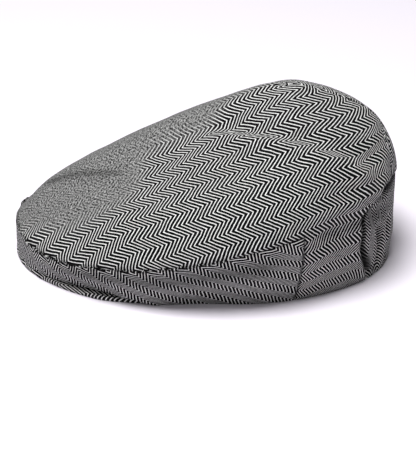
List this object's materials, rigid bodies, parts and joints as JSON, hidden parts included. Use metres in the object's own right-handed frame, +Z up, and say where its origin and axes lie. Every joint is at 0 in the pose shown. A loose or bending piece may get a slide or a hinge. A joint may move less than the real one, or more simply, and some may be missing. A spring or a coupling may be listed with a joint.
{
  "type": "flat cap",
  "caption": "Flat cap with a one-piece sloping crown, a band under its bulge, a short stiff peak and a gathered elastic back, open below for the head.",
  "frame": {"origin": "the middle of the cap's footprint on the surface that it rests on", "axes": "-Y towards the tip of the peak, +Y towards the back, +X towards the wearer's left, +Z up"},
  "size_m": [0.2138, 0.2662, 0.1255],
  "materials": {
    "herringbone_cloth": "matt wool and cotton cloth in black and white herringbone, soft and unpolished"
  },
  "bodies": {
    "root": {"top_panel": "herringbone_cloth", "front_band": "herringbone_cloth", "back_gusset": "herringbone_cloth", "peak": "herringbone_cloth"}
  },
  "joints": []
}
